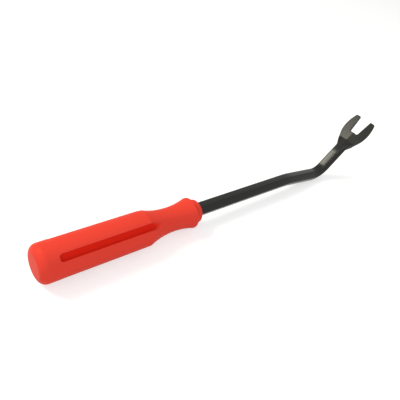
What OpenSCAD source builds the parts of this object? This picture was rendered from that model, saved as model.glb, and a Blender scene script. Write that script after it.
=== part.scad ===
// Trim removal tool: a bent hexagonal steel bar with a forged fork, fixed in a moulded handle.
// Millimetres. +X runs from the butt of the handle to the fork and +Z is up.
// The tool lies on the front edge of its grip and on the heel of its bend.

/* [Handle] */
// Diameter of the grip
grip_d = 22; // [19:0.5:28]
// Length of the grip, from the butt to where its front edge starts to round off
grip_len = 64.6; // [50:0.2:90]
// Radius of the rounded edge at the butt
butt_edge_r = 4.5; // [1:0.5:8]
// Radius of the rounded edge at the front of the grip
grip_edge_r = 3; // [1:0.5:5]
// Smallest diameter of the waist
waist_d = 15.4; // [13:0.2:17]
// Radius of the waist's hollow curve along the handle
waist_r = 52; // [40:1:80]
// Largest diameter of the collar
collar_d = 19.6; // [18:0.2:22]
// Radius of the collar's rounded rim
collar_edge_r = 0.8; // [0.4:0.1:1.5]
// Angle of the collar's sloping front to the handle's axis
collar_angle = 45; // [25:1:60]
// Diameter of the nose
nose_d = 15.2; // [12:0.2:17]
// Length of the nose
nose_len = 3.6; // [2.5:0.1:8]
// Radius of the rounded edge at the front of the nose
nose_edge_r = 2.2; // [0.4:0.1:2.4]

/* [Flutes] */
// Number of flutes around the grip
flute_count = 4; // [3:1:6]
// Radius of a flute's round bottom
flute_r = 2.7; // [1.5:0.1:3.5]
// Depth of a flute below the grip's surface
flute_depth = 2.8; // [1:0.1:3.2]
// Distance from the butt to the round start of a flute
flute_start = 10.5; // [8:0.5:25]

/* [Bar] */
// Width of the hexagonal bar across its flats
bar_af = 8.3; // [6:0.1:9]
// How far each long edge of the bar is rounded off
bar_edge = 0.25; // [0.05:0.01:0.3]
// Length of the tang inside the handle
tang_len = 60; // [30:1:80]
// Gap around the tang in its socket
tang_gap = 0.05; // [0.02:0.01:0.2]
// Length of the straight shank in front of the handle
shank_len = 80; // [40:0.5:150]
// Angle of the downward bend
dip_angle = 7.1; // [2:0.1:15]
// Centre line radius of the downward bend
dip_r = 80; // [30:1:150]
// Length of the straight stretch between the two bends
offset_len = 27.3; // [10:0.5:60]
// Angle of the neck above the handle's axis
rise_angle = 48; // [30:1:65]
// Centre line radius of the upward bend at the heel
heel_r = 16; // [12:0.5:30]
// Length of the neck between the heel's bend and the fork
neck_len = 12.5; // [6:0.5:40]

/* [Fork] */
// Greatest width of the fork
fork_w = 21.3; // [18:0.1:28]
// Radius of the fork's rounded sides behind their widest place
fork_side_r = 20.5; // [14:0.5:30]
// Distance from the fork's root to its widest place
fork_wide_at = 24.9; // [21:0.1:30]
// Angle at which the fork flares out from the bar
flare_angle = 25; // [18:1:35]
// Radius of the hollow where the bar meets the flare
flare_r = 2.5; // [1:0.5:12]
// Distance from the fork's root to the end of its prongs
prong_len = 35.7; // [30:0.1:42]
// Width of a prong across its end
prong_end_w = 3.46; // [3:0.01:5]
// Radius of the outer corner of a prong's end
tip_outer_r = 1.6; // [0.8:0.1:2.4]
// Radius of the inner corner of a prong's end
tip_inner_r = 0.8; // [0.4:0.1:1.2]
// Distance from the fork's root to the bottom of the slot
slot_start = 21.9; // [18:0.1:26]
// Width of the slot near its bottom
slot_root_w = 7.2; // [5:0.1:9]
// Width of the slot between the prongs' ends
slot_mouth_w = 9.6; // [7:0.1:11]
// Radius of the slot's bottom corners
slot_corner_r = 1; // [0.5:0.1:2]
// Distance from the fork's root to where its faces start to thin
ramp_start = 2; // [0.5:0.1:4]
// Distance from the fork's root to the end of the thinning
ramp_end = 14; // [10:0.1:18]
// Thickness of the fork's palm, where the thinning ends
palm_t = 4; // [3:0.1:5]
// Width of the flat along the middle of the palm
palm_w = 3; // [1:0.5:5]
// Slope of each face from the middle of the fork down to its sides
crown_angle = 6; // [2:0.5:8]
// Slope of each face from the palm down to the prongs' ends
thin_angle = 1.5; // [0.5:0.1:2.5]

/* [Hidden] */
$fn = 96;
// Extra length that lets a cutter run clear of what it cuts
past = 1;
// Angle left free where one arc of an outline runs on into the next
arc_gap = 2;
// Each straight stretch of the bar laps over its neighbours' ends, a hair proud of them
lap = 0.1;
lap_proud = 0.02;

grip_r = grip_d / 2;
waist_least_r = waist_d / 2;
collar_r = collar_d / 2;
nose_r = nose_d / 2;

// The waist is hollowed by a large circle, and a small circle rounds the edge at each end of it
waist_centre_r = waist_least_r + waist_r;
grip_edge_in = waist_centre_r - (grip_r - grip_edge_r);
waist_x = grip_len + sqrt(pow(waist_r + grip_edge_r, 2) - pow(grip_edge_in, 2));
grip_edge_turn = atan2(waist_x - grip_len, grip_edge_in);
rim_r = collar_r - collar_edge_r;
rim_in = waist_centre_r - rim_r;
rim_x = waist_x + sqrt(pow(waist_r + collar_edge_r, 2) - pow(rim_in, 2));
rim_turn = atan2(rim_x - waist_x, rim_in);
slope_top_x = rim_x + collar_edge_r * sin(collar_angle);
slope_top_r = rim_r + collar_edge_r * cos(collar_angle);
nose_x = slope_top_x + (slope_top_r - nose_r) / tan(collar_angle);
handle_len = nose_x + nose_len;

// Corner radius of the hexagon
bar_corner_r = bar_af / 2 / cos(30);
tang_x = handle_len - tang_len;

// Stations of the bar's centre line in the plane of its bends, with the handle's axis as X
dip_x = handle_len + shank_len;
offset_x = dip_x + dip_r * sin(dip_angle);
offset_z = -dip_r * (1 - cos(dip_angle));
heel_x = offset_x + offset_len * cos(dip_angle);
heel_z = offset_z - offset_len * sin(dip_angle);
heel_angle = dip_angle + rise_angle;
heel_centre_x = heel_x + heel_r * sin(dip_angle);
heel_centre_z = heel_z + heel_r * cos(dip_angle);
neck_x = heel_centre_x + heel_r * sin(rise_angle);
neck_z = heel_centre_z - heel_r * cos(rise_angle);
root_x = neck_x + neck_len * cos(rise_angle);
root_z = neck_z + neck_len * sin(rise_angle);

// The ground touches the round front edge of the grip and the round heel of the bar
rest_dx = heel_centre_x - grip_len;
rest_dz = heel_centre_z + grip_r - grip_edge_r;
rest_drop = (grip_edge_r - heel_r - bar_af / 2) / norm([rest_dx, rest_dz]);
ground_angle = atan2(rest_dz, rest_dx) - acos(rest_drop);
rest_pitch = 90 + ground_angle;
rest_lift = grip_len * cos(ground_angle) - (grip_r - grip_edge_r) * sin(ground_angle) + grip_edge_r;

// Outline of the fork, seen square to its faces
side_centre_y = fork_w / 2 - fork_side_r;
flare_top_x = fork_wide_at - fork_side_r * sin(flare_angle);
flare_top_y = side_centre_y + fork_side_r * cos(flare_angle);
flare_x = flare_top_x - (flare_top_y - bar_corner_r) / tan(flare_angle);
flare_run = flare_r * tan(flare_angle / 2);
flare_start_x = flare_x - flare_run;
ramp_end_half_w = bar_corner_r + (ramp_end - flare_start_x) * tan(flare_angle);

// Ahead of the widest place each side runs in an arc to the outer corner of its prong's end
tip_centre_y = slot_mouth_w / 2 + prong_end_w - tip_outer_r;
prong_reach = prong_len - tip_outer_r - fork_wide_at;
prong_in = fork_w / 2 - tip_centre_y;
prong_side_r = (pow(prong_reach, 2) + pow(prong_in, 2) - pow(tip_outer_r, 2)) / (2 * (prong_in - tip_outer_r));
prong_turn = asin(prong_reach / (prong_side_r - tip_outer_r));

// Half thicknesses of the fork, with a low ridge along the middle of each face
ridge_half_t = palm_t / 2 + palm_w / 2 * tan(crown_angle);
ridge_drop = tan(thin_angle);
crown_drop = tan(crown_angle);
ramp_drop = (bar_af - palm_t) / 2;
ramp_len = ramp_end - ramp_start;
ramp_r = (pow(ramp_len, 2) + pow(ramp_drop, 2)) / (2 * ramp_drop);
ramp_turn = asin(ramp_len / ramp_r);
tip_ridge_half_t = ridge_half_t - ridge_drop * (prong_len - ramp_end);
tip_half_t = tip_ridge_half_t - crown_drop * (slot_mouth_w / 2 + tip_inner_r);

// The tool's two ends as it lies, with the middle of its length over the origin
tip_end_x = root_x + prong_len * cos(rise_angle) + tip_half_t * sin(rise_angle);
tip_end_z = root_z + prong_len * sin(rise_angle) - tip_half_t * cos(rise_angle);
laid_tip_x = tip_end_x * cos(rest_pitch) + tip_end_z * sin(rest_pitch);
laid_butt_x = butt_edge_r * (cos(rest_pitch) - 1) - (grip_r - butt_edge_r) * sin(rest_pitch);
middle_x = (laid_butt_x + laid_tip_x) / 2;

// Points of an arc about a centre, from one angle to another
function arc(centre, radius, from, to, steps) = [
    for (step = [0 : steps])
        let (angle = from + (to - from) * step / steps)
            centre + radius * [cos(angle), sin(angle)]
];

// Half of the handle's section: the radius runs across and the handle's axis runs up
module handle_section() {
    polygon(concat(
        [[0, 0]],
        arc([grip_r - butt_edge_r, butt_edge_r], butt_edge_r, -90, 0, 12),
        arc([grip_r - grip_edge_r, grip_len], grip_edge_r, 0, grip_edge_turn, 4),
        arc([waist_centre_r, waist_x], waist_r, 180 + grip_edge_turn - arc_gap, 180 - rim_turn + arc_gap, 14),
        arc([rim_r, rim_x], collar_edge_r, -rim_turn, collar_angle, 6),
        [[nose_r, nose_x]],
        arc([nose_r - nose_edge_r, handle_len - nose_edge_r], nose_edge_r, 0, 90, 8),
        [[0, handle_len]]
    ));
}

// Cutter for one flute on top of the grip, with a ball end towards the butt
module flute() {
    start_x = flute_start + flute_r;
    translate([start_x, 0, grip_r - flute_depth + flute_r]) {
        sphere(flute_r);
        rotate([0, 90, 0])
            linear_extrude(waist_x - start_x) {
                circle(flute_r);
                translate([-grip_r, -flute_r])
                    square([grip_r, 2 * flute_r]);
            }
    }
}

// Section of the bar, with flats above and below and its long edges rounded off
module bar_section(grow = 0) {
    intersection() {
        rotate(30)
            circle(bar_corner_r + grow / cos(30), $fn = 6);
        circle(bar_corner_r - bar_edge + grow);
    }
}

// A straight stretch of bar along +X, with a lap at each end
module bar_straight(length, grow = lap_proud) {
    translate([-lap, 0, 0])
        rotate([0, 90, 0])
            linear_extrude(length + 2 * lap)
                bar_section(grow);
}

// A bend of the bar that starts along +X and turns upwards
module bar_bend(radius, angle) {
    translate([0, 0, radius])
        rotate([90, 0, 0])
            rotate([0, 0, -90])
                rotate_extrude(angle = angle)
                    translate([radius, 0])
                        bar_section();
}

// Points of the fork's side on either side of its widest place, from one angle to another
function side_arc(from, to, steps) = [
    for (step = [0 : steps])
        let (
            angle = from + (to - from) * step / steps,
            radius = angle > 90 ? fork_side_r : prong_side_r
        )
            [fork_wide_at, fork_w / 2 - radius] + radius * [cos(angle), sin(angle)]
];

// One side of the fork's outline, from its root round the prong to the bottom of the slot
fork_side = concat(
    [[0, bar_corner_r]],
    arc([flare_start_x, bar_corner_r + flare_r], flare_r, -90, flare_angle - 90, 4),
    side_arc(90 + flare_angle, 90 - prong_turn + arc_gap, 14),
    arc([prong_len - tip_outer_r, tip_centre_y], tip_outer_r, 90 - prong_turn, 0, 5),
    arc([prong_len, slot_mouth_w / 2] + tip_inner_r * [-1, 1], tip_inner_r, 0, -90, 5),
    arc([slot_start, slot_root_w / 2] + slot_corner_r * [1, -1], slot_corner_r, 90, 180, 5)
);

// Outline of the fork, seen square to its faces
module fork_outline() {
    last = len(fork_side) - 1;
    other_side = [for (i = [last : -1 : 0]) [fork_side[i].x, -fork_side[i].y]];
    polygon(concat(fork_side, other_side));
}

// Upper edge of the fork seen from its side: full height, a hollow ramp, then the level of the palm
fork_face = concat(
    [[-past, bar_af / 2]],
    arc([ramp_end, palm_t / 2 + ramp_r], ramp_r, -90 - ramp_turn, -90, 8),
    [[prong_len + past, palm_t / 2]]
);

// Outline of the fork seen from its edge
module fork_edge_outline() {
    last = len(fork_face) - 1;
    lower_face = [for (i = [last : -1 : 0]) [fork_face[i].x, -fork_face[i].y]];
    polygon(concat(fork_face, lower_face));
}

// A thin slice across the fork at a distance from its root, with a low ridge on each face,
// which may be sunk a hair below the faces that it runs into
module ridged_slice(distance, half_w, sunk = 0) {
    ridge = ridge_half_t - ridge_drop * (distance - ramp_end) - sunk;
    side = ridge - crown_drop * half_w;
    translate([distance, 0, 0])
        rotate([90, 0, 90])
            linear_extrude(lap)
                polygon([
                    [0, ridge], [half_w, side], [half_w, -side],
                    [0, -ridge], [-half_w, -side], [-half_w, side]
                ]);
}

// Envelope that leads the bar's flats out to the fork's ridged faces, and these on to the prongs' ends
module fork_envelope() {
    rotate([0, 90, 0])
        linear_extrude(flare_start_x)
            bar_section();
    hull() {
        translate([flare_start_x - lap, 0, 0])
            rotate([0, 90, 0])
                linear_extrude(lap)
                    bar_section(-lap_proud);
        ridged_slice(ramp_end, ramp_end_half_w, lap_proud);
    }
    hull() {
        ridged_slice(ramp_end, fork_w / 2);
        ridged_slice(prong_len + past, fork_w / 2);
    }
}

// The forged fork along +X, with its faces up and down
module fork() {
    intersection() {
        translate([0, 0, -bar_af])
            linear_extrude(2 * bar_af)
                fork_outline();
        translate([0, fork_w, 0])
            rotate([90, 0, 0])
                linear_extrude(2 * fork_w)
                    fork_edge_outline();
        fork_envelope();
    }
}

// Lays what is modelled along the handle's axis down on the ground
module laid_down() {
    translate([-middle_x, 0, rest_lift])
        rotate([0, rest_pitch, 0])
            children();
}

module handle() {
    color("#e8402f")
        laid_down()
            difference() {
                rotate([0, 90, 0])
                    rotate_extrude()
                        handle_section();
                for (turn = [0 : flute_count - 1])
                    rotate([360 * (turn + 0.5) / flute_count, 0, 0])
                        flute();
                translate([tang_x - past, 0, 0])
                    bar_straight(tang_len + 2 * past, tang_gap);
            }
}

module forked_bar() {
    color("#3a3938")
        laid_down() {
            translate([tang_x, 0, 0])
                bar_straight(tang_len + shank_len);
            translate([dip_x, 0, 0])
                mirror([0, 0, 1])
                    bar_bend(dip_r, dip_angle);
            translate([offset_x, 0, offset_z])
                rotate([0, dip_angle, 0])
                    bar_straight(offset_len);
            translate([heel_x, 0, heel_z])
                rotate([0, dip_angle, 0])
                    bar_bend(heel_r, heel_angle);
            translate([neck_x, 0, neck_z])
                rotate([0, -rise_angle, 0]) {
                    bar_straight(neck_len);
                    translate([neck_len, 0, 0])
                        fork();
                }
        }
}

handle();
forked_bar();
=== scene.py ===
"""Dresses the trim removal tool: a fluted red handle on a bent hexagonal bar with a forged fork."""

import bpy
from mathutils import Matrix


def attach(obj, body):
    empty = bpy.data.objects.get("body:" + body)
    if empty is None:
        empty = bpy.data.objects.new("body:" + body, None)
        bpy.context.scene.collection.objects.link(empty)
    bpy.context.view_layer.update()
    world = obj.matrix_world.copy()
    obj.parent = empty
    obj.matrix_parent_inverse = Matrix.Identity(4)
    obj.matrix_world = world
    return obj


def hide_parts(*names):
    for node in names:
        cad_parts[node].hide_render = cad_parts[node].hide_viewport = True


bl_info = {
    "name": "Trim Removal Tool",
    "version": (1, 0, 0),
    "blender": (4, 5, 0),
    "location": "View3D > Sidebar > Trim Tool",
    "description": "Builds the handle, the forked bar and a plain studio for a trim removal tool",
    "category": "Object",
}

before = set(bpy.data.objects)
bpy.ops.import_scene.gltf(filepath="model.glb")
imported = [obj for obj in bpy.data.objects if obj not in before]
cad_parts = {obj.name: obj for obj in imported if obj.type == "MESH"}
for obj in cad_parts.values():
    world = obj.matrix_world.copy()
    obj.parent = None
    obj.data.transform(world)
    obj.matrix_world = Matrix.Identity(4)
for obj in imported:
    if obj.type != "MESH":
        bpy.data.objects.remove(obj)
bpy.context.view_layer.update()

import math

import bmesh
import bpy
from bpy.props import FloatProperty, FloatVectorProperty, IntProperty, PointerProperty
from mathutils import Matrix, Vector

MM = 0.001
IMAGE_SIDE = 400
SENSOR_MM = 36.0
FLUTE_DEPTH = "flute_depth"
HEX_SIDES = 6
HEX_HALF_TURN = math.pi / HEX_SIDES


def linear(hex_colour):
    """The linear RGBA of an sRGB hex colour."""
    parts = [int(hex_colour[i : i + 2], 16) / 255 for i in (1, 3, 5)]
    return [c / 12.92 if c <= 0.04045 else ((c + 0.055) / 1.055) ** 2.4 for c in parts] + [1.0]


def length(name, description, size_mm):
    """A length property with its default in millimetres."""
    return FloatProperty(name=name, description=description, default=size_mm * MM, min=0.0, unit="LENGTH")


def angle(name, description, degrees):
    """An angle property with its default in degrees."""
    return FloatProperty(name=name, description=description, default=math.radians(degrees), subtype="ANGLE")


def colour(name, description, hex_colour):
    """A colour property with its default as an sRGB hex value."""
    return FloatVectorProperty(
        name=name,
        description=description,
        default=linear(hex_colour),
        size=4,
        min=0.0,
        max=1.0,
        subtype="COLOR",
    )


def power(name, description, watts):
    """A lamp's power property with its default in watts."""
    return FloatProperty(name=name, description=description, default=watts, min=0.0, unit="POWER")


class LieSettings(bpy.types.PropertyGroup):
    """How the tool's axis lies in the frame."""

    butt: FloatVectorProperty(
        name="Butt",
        description="Where the handle's axis meets the butt",
        default=(-134.278 * MM, 0.0, 12.1135 * MM),
        subtype="TRANSLATION",
        unit="LENGTH",
    )
    pitch: angle("Pitch", "How far the axis dips towards the fork", 0.9887)


class HandleSettings(bpy.types.PropertyGroup):
    """Sizes and colour of the moulded handle."""

    grip_r: length("Grip radius", "Radius of the grip", 11.0)
    grip_len: length("Grip length", "From the butt to where the grip's front edge rounds off", 64.6)
    butt_edge_r: length("Butt edge", "Radius of the rounded edge at the butt", 4.5)
    grip_edge_r: length("Grip edge", "Radius of the rounded edge at the front of the grip", 3.0)
    waist_least_r: length("Waist radius", "Smallest radius of the waist", 7.7)
    waist_r: length("Waist curve", "Radius of the waist's hollow curve along the handle", 52.0)
    collar_r: length("Collar radius", "Largest radius of the collar", 9.8)
    collar_edge_r: length("Collar rim", "Radius of the collar's rounded rim", 0.8)
    collar_angle: angle("Collar slope", "Angle of the collar's front to the axis", 45.0)
    nose_r: length("Nose radius", "Radius of the nose", 7.6)
    nose_len: length("Nose length", "Length of the nose", 3.6)
    nose_edge_r: length("Nose edge", "Radius of the rounded edge at the front of the nose", 2.2)
    flute_count: IntProperty(name="Flutes", description="Flutes around the grip", default=4, min=1, max=8)
    flute_r: length("Flute radius", "Radius of a flute's round bottom", 2.3)
    flute_depth: length("Flute depth", "Depth of a flute below the grip", 2.5)
    flute_start: length("Flute start", "From the butt to the round start of a flute", 10.5)
    lip_r: length("Flute lip", "How far a flute's lip is blended into the grip", 0.9)
    plastic: colour("Plastic", "Colour of the moulded handle", "#D53F32")
    # Painted shade: a darker, deeper red mixed into the flutes by their depth, standing in for their shade
    flute_painted_shade: colour("Flute painted shade", "Deeper colour in the flutes", "#D12416")


class BarSettings(bpy.types.PropertyGroup):
    """Sizes and colour of the forked bar."""

    across_flats: length("Across flats", "Width of the hexagonal bar", 8.3)
    edge_r: length("Edge radius", "Radius of the bar's long edges", 0.9)
    tang_start: length("Tang start", "From the butt to the end of the tang in the handle", 44.239)
    dip_at: length("Dip", "From the butt to the start of the downward bend", 184.239)
    dip_angle: angle("Dip angle", "Angle of the downward bend", 7.1)
    dip_r: length("Dip radius", "Centre line radius of the downward bend", 80.0)
    offset_len: length("Offset", "Straight length between the two bends", 27.3)
    rise_angle: angle("Rise angle", "Angle of the neck above the handle's axis", 48.0)
    heel_r: length("Heel radius", "Centre line radius of the upward bend", 16.0)
    neck_len: length("Neck", "Straight length between the heel and the fork", 12.5)
    steel: colour("Steel", "Colour of the blackened steel", "#313130")


class ForkSettings(bpy.types.PropertyGroup):
    """Sizes of the forged fork, measured from its root on the bar."""

    width: length("Width", "Greatest width of the fork", 21.3)
    side_r: length("Side radius", "Radius of the fork's sides behind its widest place", 20.5)
    front_r: length("Front radius", "Radius of the fork's sides ahead of its widest place", 30.0)
    wide_at: length("Widest place", "From the root to the fork's widest place", 25.4)
    flare_angle: angle("Flare", "Angle at which the fork flares out from the bar", 25.0)
    flare_r: length("Flare radius", "Radius of the hollow where the bar meets the flare", 2.5)
    prong_len: length("Prong end", "From the root to the end of the prongs", 36.0)
    tip_outer_r: length("Outer corner", "Radius of the outer corner of a prong's end", 1.3)
    tip_inner_r: length("Inner corner", "Radius of the inner corner of a prong's end", 0.6)
    slot_start: length("Slot start", "From the root to the bottom of the slot", 21.9)
    slot_root_w: length("Slot bottom", "Width of the slot near its bottom", 7.2)
    slot_mouth_w: length("Slot mouth", "Width of the slot between the prongs' ends", 9.6)
    slot_corner_r: length("Slot corner", "Radius of the slot's bottom corners", 1.0)
    ramp_start: length("Ramp start", "From the root to where the faces start to thin", 2.0)
    ramp_end: length("Ramp end", "From the root to the end of the thinning", 14.0)
    palm_t: length("Palm", "Thickness of the palm, where the thinning ends", 4.0)
    ridge_t: length("Ridge", "Thickness under the palm's low ridges", 4.316)
    crown_angle: angle("Crown", "Slope of a face from the middle to the sides", 6.0)
    thin_angle: angle("Thinning", "Slope of a face from the palm to the prongs' ends", 1.5)
    rim_r: length("Rim", "Radius of the fork's softened edges", 0.4)
    cell: length("Cell", "Size of the mesh's cells", 0.4)


class StageSettings(bpy.types.PropertyGroup):
    """Camera, light and floor."""

    camera_at: FloatVectorProperty(
        name="Camera place",
        description="Where the camera stands",
        default=(-189.106 * MM, -150.022 * MM, 192.169 * MM),
        subtype="TRANSLATION",
        unit="LENGTH",
    )
    camera_turn: FloatVectorProperty(
        name="Camera turn",
        description="The camera's XYZ rotation",
        default=[math.radians(a) for a in (50.7306, -11.3335, -37.7155)],
        subtype="EULER",
        unit="ROTATION",
    )
    focal_px: FloatProperty(
        name="Focal length",
        description="In pixels of the square image",
        default=450.0,
        min=1.0,
        subtype="PIXEL",
    )
    sky: FloatProperty(name="Sky", description="Strength of the even studio light", default=0.53, min=0.0)
    floor: colour("Floor", "Colour of the pale floor", "#CFCFCF")
    lift: FloatProperty(name="Lift", description="How far the floor is lifted to white", default=0.52, min=0.0)
    back_power: power("Back light", "Power of the softbox behind", 6.8)
    fill_power: power("Fill light", "Power of the softbox in front", 3.8)


def add_node(tree, kind, inputs=None, **settings):
    """Adds a node, sets its properties, and sets or links its inputs by name or number."""
    node = tree.nodes.new(kind)
    for name, value in settings.items():
        setattr(node, name, value)
    for name, value in (inputs or {}).items():
        if isinstance(value, bpy.types.NodeSocket):
            tree.links.new(value, node.inputs[name])
        else:
            node.inputs[name].default_value = value
    return node


def mapped(tree, value, to_min=0.0, to_max=1.0, from_min=0.0, from_max=1.0):
    """A value mapped from one range to another."""
    inputs = {"Value": value, "From Min": from_min, "From Max": from_max, "To Min": to_min, "To Max": to_max}
    return add_node(tree, "ShaderNodeMapRange", inputs).outputs["Result"]


def noise(tree, size_mm, detail):
    """Noise in object coordinates, with its broadest features about a size in millimetres."""
    coords = add_node(tree, "ShaderNodeTexCoord")
    inputs = {"Vector": coords.outputs["Object"], "Scale": 1 / (size_mm * MM), "Detail": detail}
    return add_node(tree, "ShaderNodeTexNoise", inputs).outputs["Fac"]


def new_material(name):
    """An empty node material and its tree."""
    material = bpy.data.materials.new(name)
    material.use_nodes = True
    material.node_tree.nodes.clear()
    return material, material.node_tree


def moulded_plastic(base, hollow):
    """Glossy moulded polypropylene: a clear, saturated red with a soft broad sheen.

    The tool's skin leaves a fine grain that only breaks up the edges of the highlights. The darker,
    deeper red in the flutes is painted shade: the mesh's flute_depth attribute mixes it in and takes the sheen
    away there, standing in for the shade and the red light that bounces between a flute's walls.
    """
    material, tree = new_material("moulded_red_polypropylene")
    grain_mm = 0.9
    grain_height_mm = 0.03
    grain_strength = 0.15
    grain_detail = 2.0
    smoothest = 0.32
    roughest = 0.42
    shade_from = 0.12
    shade_full = 0.6
    grip_sheen = 0.02
    flute_sheen = 0.0
    plastic_ior = 1.49
    grain = noise(tree, grain_mm, grain_detail)
    gloss = mapped(tree, grain, smoothest, roughest)
    bump = add_node(
        tree,
        "ShaderNodeBump",
        {"Height": grain, "Strength": grain_strength, "Distance": grain_height_mm * MM},
    )
    # Painted shade: by the flute_depth attribute, a darker red is mixed into the flutes and their sheen is
    # taken away
    depth = add_node(tree, "ShaderNodeAttribute", attribute_name=FLUTE_DEPTH).outputs["Fac"]
    painted_shade_mix = mapped(tree, depth, from_min=shade_from, from_max=shade_full)
    sheen = mapped(tree, depth, grip_sheen, flute_sheen)
    red = add_node(tree, "ShaderNodeMix", data_type="RGBA")
    colour_in = {socket.identifier: socket for socket in red.inputs}
    tree.links.new(painted_shade_mix, colour_in["Factor_Float"])
    colour_in["A_Color"].default_value = base
    colour_in["B_Color"].default_value = hollow
    red_out = next(socket for socket in red.outputs if socket.identifier == "Result_Color")
    skin = add_node(
        tree,
        "ShaderNodeBsdfPrincipled",
        {
            "Base Color": red_out,
            "IOR": plastic_ior,
            "Specular IOR Level": sheen,
            "Roughness": gloss,
            "Normal": bump.outputs["Normal"],
        },
    )
    add_node(tree, "ShaderNodeOutputMaterial", {"Surface": skin.outputs["BSDF"]})
    return material


def black_oxide_steel(base):
    """Forged and blackened tool steel: dark, semi-gloss, with faint clouds from the oxide bath."""
    material, tree = new_material("black_oxide_steel")
    cloud_mm = 3.0
    cloud_detail = 4.0
    smoothest = 0.24
    roughest = 0.32
    gloss = mapped(tree, noise(tree, cloud_mm, cloud_detail), smoothest, roughest)
    steel = add_node(
        tree,
        "ShaderNodeBsdfPrincipled",
        {"Base Color": base, "Metallic": 1.0, "Roughness": gloss},
    )
    add_node(tree, "ShaderNodeOutputMaterial", {"Surface": steel.outputs["BSDF"]})
    return material


def seen_directly(tree):
    """1 for what is seen directly, mirrored or through glass, and 0 for light that falls on the object."""
    path = add_node(tree, "ShaderNodeLightPath").outputs
    seen = path["Is Camera Ray"]
    for kind in ("Is Glossy Ray", "Is Transmission Ray"):
        seen = add_node(tree, "ShaderNodeMath", {0: seen, 1: path[kind]}, operation="MAXIMUM").outputs[0]
    return seen


def matt_floor(base, lift):
    """Matt white studio paper, lifted to white where it is seen, so that it still takes the tool's shadow."""
    material, tree = new_material("matt_studio_paper")
    paper = add_node(tree, "ShaderNodeBsdfDiffuse", {"Color": base})
    strength = add_node(tree, "ShaderNodeMath", {0: seen_directly(tree), 1: lift}, operation="MULTIPLY")
    glow = add_node(tree, "ShaderNodeEmission", {"Strength": strength.outputs[0]})
    both = add_node(tree, "ShaderNodeAddShader", {0: paper.outputs[0], 1: glow.outputs[0]})
    add_node(tree, "ShaderNodeOutputMaterial", {"Surface": both.outputs[0]})
    return material


def laid_down(lie):
    """The matrix that takes the tool from its own axis to where it lies in the frame."""
    return Matrix.Translation(lie.butt) @ Matrix.Rotation(lie.pitch, 4, "Y")


def arc(centre, radius, start, end, steps):
    """Points of an arc about a centre from one angle to another, in radians."""
    turns = [start + (end - start) * i / steps for i in range(steps + 1)]
    return [(centre[0] + radius * math.cos(t), centre[1] + radius * math.sin(t)) for t in turns]


def between(start, end, steps):
    """Evenly spaced points on a line, without its ends."""
    return [tuple(a + (b - a) * i / steps for a, b in zip(start, end)) for i in range(1, steps)]


def waist_centre(s):
    """Centre of the circle that hollows the waist, as (radius, distance along the axis)."""
    radius = s.waist_least_r + s.waist_r
    inward = radius - (s.grip_r - s.grip_edge_r)
    return radius, s.grip_len + math.sqrt((s.waist_r + s.grip_edge_r) ** 2 - inward**2)


def handle_profile(s):
    """The handle's profile as (radius, distance along the axis), from the middle of the butt to the nose."""
    quarter = math.pi / 2
    butt_steps = 14
    edge_steps = 6
    waist_steps = 44
    rim_steps = 8
    grip_rows = 90
    face_rows = 4
    slope_rows = 5
    nose_rows = 3
    waist_centre_r, waist_x = waist_centre(s)
    grip_turn = math.atan2(waist_x - s.grip_len, waist_centre_r - (s.grip_r - s.grip_edge_r))
    rim_r = s.collar_r - s.collar_edge_r
    rim_in = waist_centre_r - rim_r
    rim_x = waist_x + math.sqrt((s.waist_r + s.collar_edge_r) ** 2 - rim_in**2)
    rim_turn = math.atan2(rim_x - waist_x, rim_in)
    slope_x = rim_x + s.collar_edge_r * math.sin(s.collar_angle)
    slope_r = rim_r + s.collar_edge_r * math.cos(s.collar_angle)
    nose_x = slope_x + (slope_r - s.nose_r) / math.tan(s.collar_angle)
    front_x = nose_x + s.nose_len
    butt = arc((s.grip_r - s.butt_edge_r, s.butt_edge_r), s.butt_edge_r, -quarter, 0, butt_steps)
    edge = arc((s.grip_r - s.grip_edge_r, s.grip_len), s.grip_edge_r, 0, grip_turn, edge_steps)
    waist_turns = (math.pi + grip_turn, math.pi - rim_turn)
    waist = arc((waist_centre_r, waist_x), s.waist_r, *waist_turns, waist_steps)
    rim = arc((rim_r, rim_x), s.collar_edge_r, -rim_turn, s.collar_angle, rim_steps)
    front_centre = (s.nose_r - s.nose_edge_r, front_x - s.nose_edge_r)
    front = arc(front_centre, s.nose_edge_r, 0, quarter, rim_steps)
    return (
        between((0, 0), butt[0], face_rows)
        + butt
        + between(butt[-1], edge[0], grip_rows)
        + edge
        + waist[1:-1]
        + rim
        + between(rim[-1], (s.nose_r, nose_x), slope_rows)
        + [(s.nose_r, nose_x)]
        + between((s.nose_r, nose_x), front[0], nose_rows)
        + front
        + between(front[-1], (0, front_x), face_rows)
    )


def blended_least(a, b, blend):
    """The lesser of two radii, with a round blend where they are nearly equal."""
    mix = max(blend - abs(a - b), 0.0) / blend
    return min(a, b) - mix * mix * blend / 4


def fluted_radius(s, radius, x, turn):
    """The handle's radius at one place along and around it, with the flutes cut in."""
    pitch = 2 * math.pi / s.flute_count
    off = (turn % pitch) - pitch / 2
    centre_r = s.grip_r - s.flute_depth + s.flute_r
    ball = max(s.flute_start + s.flute_r - x, 0.0)
    if ball >= s.flute_r or x > waist_centre(s)[1]:
        return radius
    width = math.sqrt(s.flute_r**2 - ball**2)
    side = centre_r * math.sin(off)
    if abs(side) >= width:
        return radius
    floor = centre_r * math.cos(off) - math.sqrt(width**2 - side**2)
    return blended_least(radius, floor, s.lip_r)


def steel_path(s):
    """Corners of the bar's centre line along the handle's axis, with the radius of the bend at each."""
    heel_angle = s.dip_angle + s.rise_angle
    dip_run = s.dip_r * math.tan(s.dip_angle / 2)
    heel_run = s.heel_r * math.tan(heel_angle / 2)
    tang = Vector((s.tang_start, 0, 0))
    dip = Vector((s.dip_at + dip_run, 0, 0))
    down = Vector((math.cos(s.dip_angle), 0, -math.sin(s.dip_angle)))
    heel = dip + down * (dip_run + s.offset_len + heel_run)
    up = Vector((math.cos(s.rise_angle), 0, math.sin(s.rise_angle)))
    root = heel + up * (heel_run + s.neck_len)
    return [tang, dip, heel, root], [0.0, s.dip_r, s.heel_r, 0.0]


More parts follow.
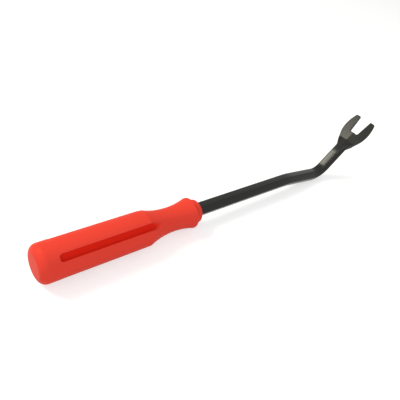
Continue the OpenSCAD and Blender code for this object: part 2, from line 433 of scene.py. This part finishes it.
def bar_tree():
    """Geometry nodes that sweep a rounded hexagon along a path with filleted corners."""
    tree = bpy.data.node_groups.new("hexagonal_bar", "GeometryNodeTree")
    face = tree.interface
    face.new_socket("Path", in_out="INPUT", socket_type="NodeSocketGeometry")
    face.new_socket("Corner radius", in_out="INPUT", socket_type="NodeSocketFloat")
    face.new_socket("Edge radius", in_out="INPUT", socket_type="NodeSocketFloat")
    face.new_socket("Bend steps", in_out="INPUT", socket_type="NodeSocketInt")
    face.new_socket("Material", in_out="INPUT", socket_type="NodeSocketMaterial")
    face.new_socket("Bar", in_out="OUTPUT", socket_type="NodeSocketGeometry")
    edge_steps = 4
    given = add_node(tree, "NodeGroupInput").outputs
    bend = add_node(tree, "GeometryNodeInputNamedAttribute", {"Name": "bend_r"}, data_type="FLOAT")
    path = add_node(tree, "GeometryNodeMeshToCurve", {"Mesh": given["Path"]})
    rounded = add_node(
        tree,
        "GeometryNodeFilletCurve",
        {
            "Curve": path.outputs[0],
            "Count": given["Bend steps"],
            "Radius": bend.outputs["Attribute"],
            "Limit Radius": True,
        },
        mode="POLY",
    )
    upright = add_node(tree, "GeometryNodeSetCurveNormal", {"Curve": rounded.outputs[0]}, mode="Z_UP")
    hexagon = add_node(
        tree,
        "GeometryNodeCurvePrimitiveCircle",
        {"Resolution": HEX_SIDES, "Radius": given["Corner radius"]},
        mode="RADIUS",
    )
    section = add_node(
        tree,
        "GeometryNodeFilletCurve",
        {
            "Curve": hexagon.outputs["Curve"],
            "Count": edge_steps,
            "Radius": given["Edge radius"],
            "Limit Radius": True,
        },
        mode="POLY",
    )
    bar = add_node(
        tree,
        "GeometryNodeCurveToMesh",
        {"Curve": upright.outputs[0], "Profile Curve": section.outputs[0], "Fill Caps": True},
    )
    real = add_node(tree, "GeometryNodeRealizeInstances", {"Geometry": bar.outputs[0]})
    dressed = add_node(
        tree,
        "GeometryNodeSetMaterial",
        {"Geometry": real.outputs[0], "Material": given["Material"]},
    )
    add_node(tree, "NodeGroupOutput", {"Bar": dressed.outputs[0]})
    return tree


def show(name, mesh):
    """A new object at the origin that shows a mesh."""
    obj = bpy.data.objects.new(name, mesh)
    bpy.context.scene.collection.objects.link(obj)
    return obj


def finished_mesh(obj):
    """The object's mesh with its modifiers applied and removed."""
    graph = bpy.context.evaluated_depsgraph_get()
    mesh = bpy.data.meshes.new_from_object(obj.evaluated_get(graph))
    obj.modifiers.clear()
    return mesh


def swept_bar(s, lie, material):
    """The hexagonal bar from its tang to the fork's root, as a mesh in the frame."""
    corners, bends = steel_path(s)
    mesh = bpy.data.meshes.new("bar_path")
    place = laid_down(lie)
    mesh.from_pydata([place @ c for c in corners], [(i, i + 1) for i in range(len(corners) - 1)], [])
    mesh.attributes.new("bend_r", "FLOAT", "POINT").data.foreach_set("value", bends)
    obj = show("bar_path", mesh)
    tree = bar_tree()
    modifier = obj.modifiers.new("bar", "NODES")
    modifier.node_group = tree
    bend_steps = 24
    sharp, _ = bar_corner(s)
    sizes = {
        "Corner radius": sharp,
        "Edge radius": s.edge_r,
        "Bend steps": bend_steps,
        "Material": material,
    }
    for socket in tree.interface.items_tree:
        if socket.name in sizes:
            modifier[socket.identifier] = sizes[socket.name]
    bar = finished_mesh(obj)
    bpy.data.objects.remove(obj)
    return bar


def bar_corner(s):
    """Distance from the bar's middle to its sharp corner, and to the rounded one."""
    sharp = s.across_flats / 2 / math.cos(HEX_HALF_TURN)
    return sharp, sharp - s.edge_r * (1 / math.cos(HEX_HALF_TURN) - 1)


def fork_flare(f, corner):
    """Where the flare starts, and the middle of the arc of the fork's side."""
    side_y = f.width / 2 - f.side_r
    top_x = f.wide_at - f.side_r * math.sin(f.flare_angle)
    top_y = side_y + f.side_r * math.cos(f.flare_angle)
    hollow = f.flare_r * math.tan(f.flare_angle / 2)
    return top_x - (top_y - corner) / math.tan(f.flare_angle) - hollow, side_y


def fork_outline(f, corner):
    """The fork's closed outline seen square to its faces, as (distance from the root, place across)."""
    quarter = math.pi / 2
    flare_steps = 4
    side_steps = 12
    tip_steps = 8
    corner_steps = 6
    flare_x, side_y = fork_flare(f, corner)
    front_y = f.width / 2 - f.front_r
    tip_arc_r = f.front_r - f.tip_outer_r
    turn = math.asin((f.prong_len - f.tip_outer_r - f.wide_at) / tip_arc_r)
    tip_y = front_y + tip_arc_r * math.cos(turn)
    mouth_y = f.slot_mouth_w / 2 + f.tip_inner_r
    slot_y = f.slot_root_w / 2 - f.slot_corner_r
    side = (
        [(-f.rim_r, corner)]
        + arc((flare_x, corner + f.flare_r), f.flare_r, -quarter, f.flare_angle - quarter, flare_steps)
        + arc((f.wide_at, side_y), f.side_r, quarter + f.flare_angle, quarter, side_steps)
        + arc((f.wide_at, front_y), f.front_r, quarter, quarter - turn, side_steps)[1:]
        + arc((f.prong_len - f.tip_outer_r, tip_y), f.tip_outer_r, quarter - turn, 0, tip_steps)[1:]
        + arc((f.prong_len - f.tip_inner_r, mouth_y), f.tip_inner_r, 0, -quarter, corner_steps)
        + arc((f.slot_start + f.slot_corner_r, slot_y), f.slot_corner_r, quarter, math.pi, corner_steps)
    )
    return side + [(x, -y) for x, y in reversed(side)]


def inset(outline, distance):
    """A closed outline that runs clockwise, moved inwards by a distance."""
    moved = []
    for i, here in enumerate(outline):
        ways = []
        for start, end in ((outline[i - 1], here), (here, outline[(i + 1) % len(outline)])):
            ways.append((Vector(end) - Vector(start)).normalized())
        half = (ways[0] + ways[1]).normalized()
        inward = Vector((half.y, -half.x))
        moved.append(Vector(here) + inward * distance / half.dot(ways[0]))
    return moved


def fork_half_t(s, f, x, y):
    """Half the fork's thickness at one place: bar, ramp and crowned palm, within slanting shoulders."""
    sharp, corner = bar_corner(s)
    flare_x, _ = fork_flare(f, corner)
    flat = s.across_flats / 2
    past = max(x - f.ramp_end, 0.0)
    crown = f.ridge_t / 2 - past * math.tan(f.thin_angle) - abs(y) * math.tan(f.crown_angle)
    to_ramp_end = max(f.ramp_end - x, 0.0) / (f.ramp_end - f.ramp_start)
    face = blended_least(flat, crown + (flat - crown) * to_ramp_end, f.rim_r)
    spread = max(x - flare_x, 0.0)
    edge_rise = f.palm_t / 2 / (f.ramp_end - flare_x)
    edge_y = sharp + spread * math.tan(f.flare_angle)
    shoulder = edge_rise * spread + (edge_y - abs(y)) * math.tan(2 * HEX_HALF_TURN)
    return blended_least(face, shoulder, s.edge_r)


def fork_sheet(f, outline):
    """A flat mesh of the fork's outline in small cells, with how far each corner lies below its face."""
    sheet = bmesh.new()
    drop = sheet.verts.layers.float.new("drop")
    rim_steps = 4
    rings = []
    for step in range(rim_steps + 1):
        turn = step / rim_steps * math.pi / 2
        ring = [sheet.verts.new((p.x, p.y, 0)) for p in inset(outline, f.rim_r * (1 - math.cos(turn)))]
        for vert in ring:
            vert[drop] = f.rim_r * (1 - math.sin(turn))
        rings.append(ring)
    for outer, inner in zip(rings, rings[1:]):
        for i in range(len(outer)):
            sheet.faces.new((outer[i - 1], outer[i], inner[i], inner[i - 1]))
    sheet.faces.new(rings[-1])
    for axis, reach in ((Vector((1, 0, 0)), f.prong_len), (Vector((0, 1, 0)), f.width / 2)):
        count = int(reach / f.cell)
        for i in range(0 if axis.x else -count, count + 1):
            everything = sheet.verts[:] + sheet.edges[:] + sheet.faces[:]
            bmesh.ops.bisect_plane(sheet, geom=everything, plane_co=axis * i * f.cell, plane_no=axis)
    weld = 0.005 * MM
    bmesh.ops.remove_doubles(sheet, verts=sheet.verts[:], dist=weld)
    bmesh.ops.dissolve_degenerate(sheet, edges=sheet.edges[:], dist=weld)
    sheet.verts.index_update()
    return sheet, drop


def forged_fork(s, f, lie, material):
    """The fork as a mesh in the frame: a sheet of cells, raised on both faces and walled round its rim."""
    _, corner = bar_corner(s)
    sheet, drop = fork_sheet(f, fork_outline(f, corner))
    thinnest = 0.02 * MM
    heights = []
    for vert in sheet.verts:
        half_t = fork_half_t(s, f, vert.co.x, vert.co.y)
        heights.append(max(half_t - vert[drop] * min(half_t / f.rim_r, 1.0), thinnest))
    upper = [[v.index for v in face.verts] for face in sheet.faces]
    count = len(sheet.verts)
    lower = [[i + count for i in reversed(face)] for face in upper]
    rim = [edge.link_loops[0] for edge in sheet.edges if edge.is_boundary]
    ends = [(loop.vert.index, loop.link_loop_next.vert.index) for loop in rim]
    walls = [(b, a, a + count, b + count) for a, b in ends]
    corners, _ = steel_path(s)
    place = laid_down(lie) @ Matrix.Translation(corners[-1]) @ Matrix.Rotation(-s.rise_angle, 4, "Y")
    points = [
        place @ Vector((vert.co.x, vert.co.y, side * height))
        for side in (1, -1)
        for vert, height in zip(sheet.verts, heights)
    ]
    sheet.free()
    mesh = bpy.data.meshes.new("forged_fork")
    mesh.from_pydata(points, [], upper + lower + walls)
    mesh.materials.append(material)
    return mesh


def smooth(mesh, sharp_degrees):
    """Shades a mesh smooth, except at edges sharper than an angle."""
    mesh.polygons.foreach_set("use_smooth", [True] * len(mesh.polygons))
    mesh.set_sharp_from_angle(angle=math.radians(sharp_degrees))


class TRIMTOOL_OT_handle(bpy.types.Operator):
    """Make the moulded handle with its flutes"""

    bl_idname = "trimtool.handle"
    bl_label = "Moulded Handle"

    def execute(self, context):
        s = context.scene.trimtool_handle
        profile = handle_profile(s)
        columns = 288
        sharp_degrees = 35
        place = laid_down(context.scene.trimtool_lie)
        turns = [2 * math.pi * i / columns for i in range(columns)]
        points = [(0.0, 0.0, 0.0)]
        depths = [0.0]
        for radius, x in profile:
            for turn in turns:
                r = fluted_radius(s, radius, x, turn)
                points.append((x, r * math.cos(turn), r * math.sin(turn)))
                depths.append(min((radius - r) / s.flute_depth, 1.0))
        points.append((profile[-1][1], 0.0, 0.0))
        depths.append(0.0)
        faces = []
        last = len(points) - 1
        end_ring = 1 + (len(profile) - 1) * columns
        for i in range(columns):
            j = (i + 1) % columns
            faces.append((0, 1 + j, 1 + i))
            faces.append((last, end_ring + i, end_ring + j))
            for row in range(len(profile) - 1):
                a = 1 + row * columns
                b = a + columns
                faces.append((a + i, a + j, b + j, b + i))
        mesh = bpy.data.meshes.new("moulded_handle")
        mesh.from_pydata([place @ Vector(p) for p in points], [], faces)
        mesh.attributes.new(FLUTE_DEPTH, "FLOAT", "POINT").data.foreach_set("value", depths)
        mesh.materials.append(moulded_plastic(s.plastic, s.flute_painted_shade))
        smooth(mesh, sharp_degrees)
        obj = show("moulded_handle", mesh)
        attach(obj, "root")
        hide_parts("handle")
        return {"FINISHED"}


class TRIMTOOL_OT_forked_bar(bpy.types.Operator):
    """Make the bent bar with its forged fork"""

    bl_idname = "trimtool.forked_bar"
    bl_label = "Forked Bar"

    def execute(self, context):
        s = context.scene.trimtool_bar
        lie = context.scene.trimtool_lie
        material = black_oxide_steel(s.steel)
        sharp_degrees = 30
        work = bmesh.new()
        fork = context.scene.trimtool_fork
        for mesh in (swept_bar(s, lie, material), forged_fork(s, fork, lie, material)):
            work.from_mesh(mesh)
        bmesh.ops.recalc_face_normals(work, faces=work.faces[:])
        mesh = bpy.data.meshes.new("blackened_bar")
        work.to_mesh(mesh)
        work.free()
        mesh.materials.append(material)
        smooth(mesh, sharp_degrees)
        obj = show("blackened_bar", mesh)
        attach(obj, "root")
        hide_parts("forked_bar")
        return {"FINISHED"}


class TRIMTOOL_OT_studio(bpy.types.Operator):
    """Set up the camera, the soft light and the pale floor"""

    bl_idname = "trimtool.studio"
    bl_label = "Plain Studio"

    def execute(self, context):
        scene = context.scene
        s = scene.trimtool_stage
        scene.view_settings.view_transform = "Standard"
        lens = bpy.data.cameras.new("photo_camera")
        lens.sensor_width = SENSOR_MM
        lens.lens = s.focal_px * SENSOR_MM / IMAGE_SIDE
        nearest_mm = 10
        lens.clip_start = nearest_mm * MM
        camera = show("photo_camera", lens)
        camera.location = s.camera_at
        camera.rotation_euler = s.camera_turn
        scene.camera = camera
        self.sky(scene, s)
        light_distance = 0.9
        back_from = (-0.485, 0.53, 0.695)
        back_side = 0.38
        warm = (1.0, 0.96, 0.8)
        self.softbox("back_softbox", back_from, light_distance, back_side, s.back_power, warm)
        fill_from = (-0.3, -0.8, 0.5)
        fill_side = 0.8
        white = (1.0, 1.0, 1.0)
        self.softbox("fill_softbox", fill_from, light_distance, fill_side, s.fill_power, white)
        floor_side = 6.0
        bpy.ops.mesh.primitive_plane_add(size=floor_side)
        floor = context.object
        floor.name = "floor"
        floor.data.materials.append(matt_floor(s.floor, s.lift))
        return {"FINISHED"}

    def sky(self, scene, s):
        """Even light from all round, white where it is seen directly."""
        world = bpy.data.worlds.new("studio")
        world.use_nodes = True
        tree = world.node_tree
        tree.nodes.clear()
        strength = mapped(tree, seen_directly(tree), to_min=s.sky)
        white = (1.0, 1.0, 1.0, 1.0)
        light = add_node(tree, "ShaderNodeBackground", {"Color": white, "Strength": strength})
        add_node(tree, "ShaderNodeOutputWorld", {"Surface": light.outputs[0]})
        scene.world = world

    def softbox(self, name, towards, distance, side, power, tint):
        """A square soft light that faces the tool's middle."""
        lamp = bpy.data.lights.new(name, "AREA")
        lamp.size = side
        lamp.energy = power
        lamp.color = tint
        obj = show(name, lamp)
        aim = Vector(towards).normalized()
        obj.location = aim * distance
        obj.rotation_euler = aim.to_track_quat("Z", "Y").to_euler()


class TRIMTOOL_PT_panel(bpy.types.Panel):
    """Lists the tool's pieces and its studio"""

    bl_idname = "TRIMTOOL_PT_panel"
    bl_label = "Trim Tool"
    bl_space_type = "VIEW_3D"
    bl_region_type = "UI"
    bl_category = "Trim Tool"

    def draw(self, context):
        for operator in OPERATORS:
            self.layout.operator(operator.bl_idname)


SETTINGS = {
    "trimtool_lie": LieSettings,
    "trimtool_handle": HandleSettings,
    "trimtool_bar": BarSettings,
    "trimtool_fork": ForkSettings,
    "trimtool_stage": StageSettings,
}
OPERATORS = (TRIMTOOL_OT_handle, TRIMTOOL_OT_forked_bar, TRIMTOOL_OT_studio)
CLASSES = (*SETTINGS.values(), *OPERATORS, TRIMTOOL_PT_panel)


def register():
    for cls in CLASSES:
        bpy.utils.register_class(cls)
    for name, group in SETTINGS.items():
        setattr(bpy.types.Scene, name, PointerProperty(type=group))


def unregister():
    for name in SETTINGS:
        delattr(bpy.types.Scene, name)
    for cls in reversed(CLASSES):
        bpy.utils.unregister_class(cls)


def main():
    register()
    bpy.ops.trimtool.handle()
    bpy.ops.trimtool.forked_bar()
    bpy.ops.trimtool.studio()


if __name__ == "__main__":
    main()
